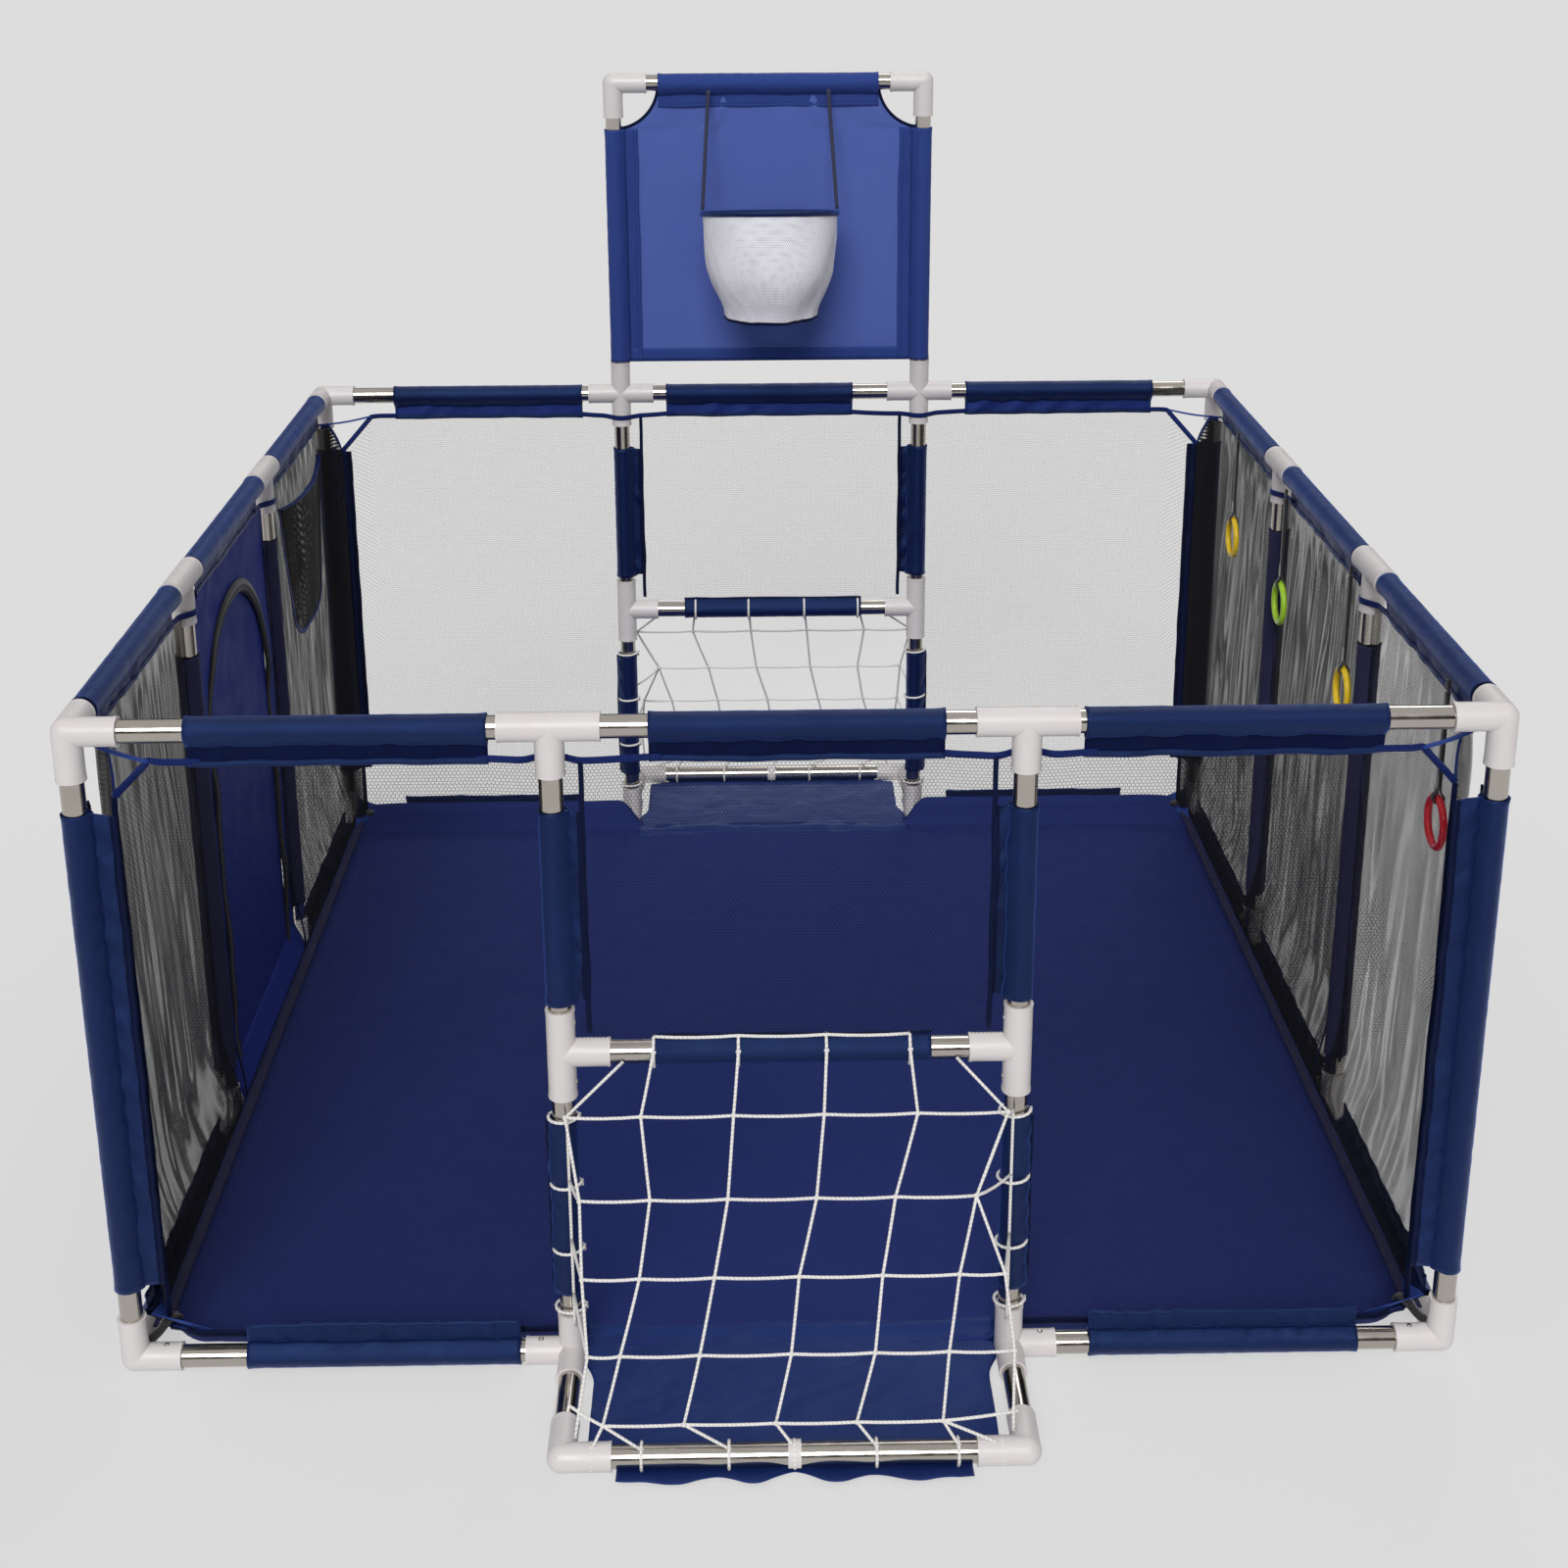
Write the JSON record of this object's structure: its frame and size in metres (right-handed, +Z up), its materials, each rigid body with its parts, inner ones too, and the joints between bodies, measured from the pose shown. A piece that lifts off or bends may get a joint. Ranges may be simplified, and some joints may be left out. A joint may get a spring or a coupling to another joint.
{
  "type": "play yard",
  "caption": "Square children's play yard: tube frame, fabric and mesh walls, zip door, goals at front and rear, a basketball backboard with a folding hoop, and hand rings",
  "frame": {"origin": "on the ground, at the centre of the bounding box's bottom", "axes": "+Z up, +X to the right as seen from the front, +Y to the rear, where the backboard is"},
  "size_m": [1.3078, 1.644, 1.1189],
  "materials": {
    "white_plastic": "moulded, satin",
    "steel_tube": "polished",
    "oxford_fabric": "coated oxford cloth",
    "mesh_fabric": "fine knitted mesh",
    "floor_fabric": "coated oxford cloth",
    "net_rope": "twisted cord",
    "basket_mesh": "soft open mesh",
    "black_webbing": "woven webbing",
    "zip_black": "coil zip",
    "ring_yellow": "moulded",
    "ring_green": "moulded",
    "ring_red": "moulded",
    "button_steel": "bare"
  },
  "bodies": {
    "frame": {"corner_connectors_top": "white_plastic", "corner_connectors_bottom": "white_plastic", "tee_connectors_top": "white_plastic", "cross_connectors_rear": "white_plastic", "goal_tees": "white_plastic", "goal_base_connectors": "white_plastic", "goal_elbows": "white_plastic", "side_base_tees": "white_plastic", "backboard_elbows": "white_plastic", "net_clips": "white_plastic", "top_rails": "steel_tube", "bottom_rails": "steel_tube", "corner_posts": "steel_tube", "side_posts": "steel_tube", "goal_posts": "steel_tube", "goal_crossbars": "steel_tube", "goal_foot_tubes": "steel_tube", "backboard_tubes": "steel_tube", "top_sleeves": "oxford_fabric", "bottom_sleeves": "oxford_fabric", "corner_post_sleeves": "oxford_fabric", "side_post_sleeves": "oxford_fabric", "goal_post_sleeves": "oxford_fabric", "crossbar_sleeves": "oxford_fabric", "door_surround": "oxford_fabric", "backboard_panel": "oxford_fabric", "front_wall_mesh": "mesh_fabric", "rear_wall_mesh": "mesh_fabric", "left_wall_mesh": "mesh_fabric", "right_wall_mesh": "mesh_fabric", "wall_pocket": "mesh_fabric", "floor_mat": "floor_fabric", "goal_mats": "floor_fabric", "corner_straps": "black_webbing", "zip_tape": "zip_black", "goal_net_front": "net_rope", "goal_net_rear": "net_rope", "hoop_cords": "net_rope"},
    "door": {"door_flap": "oxford_fabric"},
    "zip_slider": {"zip_slider": "zip_black"},
    "zip_pull": {"zip_pull": "zip_black"},
    "hoop": {"hoop_rim": "oxford_fabric", "hoop_basket": "basket_mesh"},
    "strap_rear": {"ring_strap_rear": "black_webbing"},
    "ring_rear": {"hand_ring_rear": "ring_yellow"},
    "strap_mid_rear": {"ring_strap_mid_rear": "black_webbing"},
    "ring_mid_rear": {"hand_ring_mid_rear": "ring_green"},
    "strap_mid_front": {"ring_strap_mid_front": "black_webbing"},
    "ring_mid_front": {"hand_ring_mid_front": "ring_yellow"},
    "strap_front": {"ring_strap_front": "black_webbing"},
    "ring_front": {"hand_ring_front": "ring_red"},
    "button_corner_left": {"snap_button_corner_left": "button_steel"},
    "button_corner_right": {"snap_button_corner_right": "button_steel"},
    "button_base_left": {"snap_button_base_left": "button_steel"},
    "button_base_right": {"snap_button_base_right": "button_steel"},
    "button_post_left_upper": {"snap_button_post_left_upper": "button_steel"},
    "button_post_left_lower": {"snap_button_post_left_lower": "button_steel"},
    "button_post_right_upper": {"snap_button_post_right_upper": "button_steel"},
    "button_post_right_lower": {"snap_button_post_right_lower": "button_steel"}
  },
  "joints": [
    {"name": "door_hinge", "type": "hinge", "parent": "frame", "child": "door", "pos_m": [-0.64, 0, 0.061], "axis": [0, -1, 0], "range_deg": [0, 90]},
    {"name": "zip_slide", "type": "slide", "parent": "frame", "child": "zip_slider", "axis": [0, 0, 1], "range_m": [0, 0.35]},
    {"name": "zip_pull_hinge", "type": "hinge", "parent": "zip_slider", "child": "zip_pull", "pos_m": [-0.6458, -0.1518, 0.0788], "axis": [0, 1, 0], "range_deg": [0, 150]},
    {"name": "hoop_fold", "type": "hinge", "parent": "frame", "child": "hoop", "pos_m": [0, 0.632, 0.928], "axis": [-1, 0, 0], "range_deg": [0, 75], "deforming": ["hoop_cords"]},
    {"name": "strap_swing_rear", "type": "hinge", "parent": "frame", "child": "strap_rear", "pos_m": [0.632, 0.44, 0.641], "axis": [0, 1, 0], "range_deg": [0, 80]},
    {"name": "ring_swing_rear", "type": "hinge", "parent": "strap_rear", "child": "ring_rear", "pos_m": [0.632, 0.44, 0.533], "axis": [0, 1, 0], "range_deg": [0, 100]},
    {"name": "strap_swing_mid_rear", "type": "hinge", "parent": "frame", "child": "strap_mid_rear", "pos_m": [0.632, 0.158, 0.641], "axis": [0, 1, 0], "range_deg": [0, 80]},
    {"name": "ring_swing_mid_rear", "type": "hinge", "parent": "strap_mid_rear", "child": "ring_mid_rear", "pos_m": [0.632, 0.158, 0.533], "axis": [0, 1, 0], "range_deg": [0, 100]},
    {"name": "strap_swing_mid_front", "type": "hinge", "parent": "frame", "child": "strap_mid_front", "pos_m": [0.632, -0.15, 0.641], "axis": [0, 1, 0], "range_deg": [0, 80]},
    {"name": "ring_swing_mid_front", "type": "hinge", "parent": "strap_mid_front", "child": "ring_mid_front", "pos_m": [0.632, -0.15, 0.533], "axis": [0, 1, 0], "range_deg": [0, 100]},
    {"name": "strap_swing_front", "type": "hinge", "parent": "frame", "child": "strap_front", "pos_m": [0.632, -0.508, 0.641], "axis": [0, 1, 0], "range_deg": [0, 80]},
    {"name": "ring_swing_front", "type": "hinge", "parent": "strap_front", "child": "ring_front", "pos_m": [0.632, -0.508, 0.533], "axis": [0, 1, 0], "range_deg": [0, 100]},
    {"name": "press_corner_left", "type": "slide", "parent": "frame", "child": "button_corner_left", "axis": [0, 0, -1], "range_m": [0, 0.0026], "stiffness_N_per_m": 800, "springref_m": -0.001},
    {"name": "press_corner_right", "type": "slide", "parent": "frame", "child": "button_corner_right", "axis": [0, 0, -1], "range_m": [0, 0.0026], "stiffness_N_per_m": 800, "springref_m": -0.001},
    {"name": "press_base_left", "type": "slide", "parent": "frame", "child": "button_base_left", "axis": [0, 0, -1], "range_m": [0, 0.0026], "stiffness_N_per_m": 800, "springref_m": -0.001},
    {"name": "press_base_right", "type": "slide", "parent": "frame", "child": "button_base_right", "axis": [0, 0, -1], "range_m": [0, 0.0026], "stiffness_N_per_m": 800, "springref_m": -0.001},
    {"name": "press_post_left_upper", "type": "slide", "parent": "frame", "child": "button_post_left_upper", "axis": [-1, 0, 0], "range_m": [0, 0.0026], "stiffness_N_per_m": 800, "springref_m": -0.001},
    {"name": "press_post_left_lower", "type": "slide", "parent": "frame", "child": "button_post_left_lower", "axis": [-1, 0, 0], "range_m": [0, 0.0026], "stiffness_N_per_m": 800, "springref_m": -0.001},
    {"name": "press_post_right_upper", "type": "slide", "parent": "frame", "child": "button_post_right_upper", "axis": [1, 0, 0], "range_m": [0, 0.0026], "stiffness_N_per_m": 800, "springref_m": -0.001},
    {"name": "press_post_right_lower", "type": "slide", "parent": "frame", "child": "button_post_right_lower", "axis": [1, 0, 0], "range_m": [0, 0.0026], "stiffness_N_per_m": 800, "springref_m": -0.001}
  ]
}
